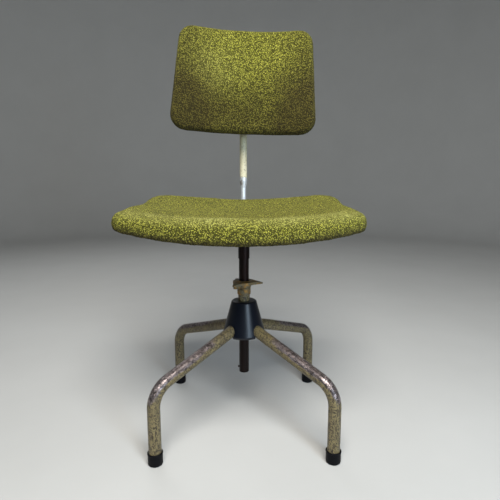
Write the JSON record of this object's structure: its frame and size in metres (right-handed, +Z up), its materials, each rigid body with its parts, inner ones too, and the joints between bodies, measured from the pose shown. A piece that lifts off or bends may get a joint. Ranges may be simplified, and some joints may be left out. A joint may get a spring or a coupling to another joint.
{
  "type": "swivel work chair",
  "caption": "Upholstered swivel chair on four bent tube legs, with a winged height clamp on its column and a tilting, height-adjustable backrest on a single stem.",
  "frame": {"origin": "on the floor, under the centre of the chair's overall box; the column's axis stands 26.75 mm in front of it and 8.2 mm to its right, because the cushion sits off centre", "axes": "+Z up, the sitter faces -Y, +X to the right of someone who stands in front of the chair"},
  "size_m": [0.4924, 0.4634, 0.8996],
  "materials": {
    "frame_paint": "khaki stove enamel, speckled and worn through to dark steel in places",
    "stem_paint": "cream-khaki enamel above, rubbed to bare steel at the lower end",
    "boot_rubber": "matt black moulded rubber",
    "cover_plastic": "satin black moulded plastic",
    "column_steel": "dark browned steel tube, drawn finish",
    "bright_steel": "bare steel, rubbed bright",
    "clamp_brass": "cast brass with worn khaki paint",
    "zinc_fixings": "dull zinc-plated screws, nuts and staples",
    "bracket_paint": "khaki enamel on pressed steel",
    "knob_plastic": "black moulded phenolic",
    "plywood": "moulded beech plywood, clear varnish",
    "foam": "latex foam, open cell",
    "seat_wool": "looped chartreuse wool with a dark ground",
    "back_wool": "looped chartreuse wool with a dark ground",
    "spacer_rubber": "black rubber rings"
  },
  "bodies": {
    "base": {"leg_front_left": "frame_paint", "leg_front_right": "frame_paint", "leg_rear_left": "frame_paint", "leg_rear_right": "frame_paint", "foot_front_left": "boot_rubber", "foot_front_right": "boot_rubber", "foot_rear_left": "boot_rubber", "foot_rear_right": "boot_rubber", "socket_tube": "frame_paint", "hub_cover": "cover_plastic", "neck_collar": "clamp_brass", "guide_screw": "clamp_brass", "collet": "clamp_brass"},
    "height_nut": {"clamp_nut": "clamp_brass"},
    "column": {"column": "column_steel", "stop_pin": "column_steel", "column_plug": "bright_steel", "thrust_ball": "bright_steel"},
    "seat": {"seat_sleeve": "column_steel", "sleeve_screw": "zinc_fixings", "seat_plate": "bracket_paint", "seat_spacers": "spacer_rubber", "seat_screws": "zinc_fixings", "back_arm": "bracket_paint", "arm_bolts": "zinc_fixings", "seat_shell": "plywood", "seat_foam": "foam", "seat_cover": "seat_wool", "seat_staples": "zinc_fixings", "stem_socket": "bracket_paint"},
    "stem_clamp": {"clamp_stud": "bright_steel", "clamp_knob": "knob_plastic"},
    "stem": {"back_stem": "stem_paint", "stem_stop_pin": "bright_steel", "stem_eye": "bright_steel"},
    "backrest": {"hinge_bracket": "bracket_paint", "pivot_bolt": "zinc_fixings", "pivot_nut": "zinc_fixings", "pivot_washers": "zinc_fixings", "back_screws": "zinc_fixings", "back_tee_nuts": "zinc_fixings", "back_shell": "plywood", "back_foam": "foam", "back_cover": "back_wool"}
  },
  "joints": [
    {"name": "seat_height", "type": "slide", "parent": "base", "child": "column", "axis": [0, 0, 1], "range_m": [-0.044, 0.07]},
    {"name": "height_nut_turn", "type": "hinge", "parent": "base", "child": "height_nut", "pos_m": [0.00819, -0.02675, 0.317], "axis": [0, 0, 1], "range_deg": [0, 150]},
    {"name": "seat_swivel", "type": "hinge", "parent": "column", "child": "seat", "pos_m": [0.00819, -0.02675, 0.42], "axis": [0, 0, 1], "continuous": true},
    {"name": "stem_clamp_turn", "type": "hinge", "parent": "seat", "child": "stem_clamp", "pos_m": [0.00819, 0.19525, 0.446], "axis": [0, 1, 0], "range_deg": [0, 270]},
    {"name": "back_height", "type": "slide", "parent": "seat", "child": "stem", "axis": [0, 0, 1], "range_m": [-0.04, 0.045]},
    {"name": "back_tilt", "type": "hinge", "parent": "stem", "child": "backrest", "pos_m": [0.00819, 0.19525, 0.782], "axis": [1, 0, 0], "range_deg": [-14, 10]}
  ]
}
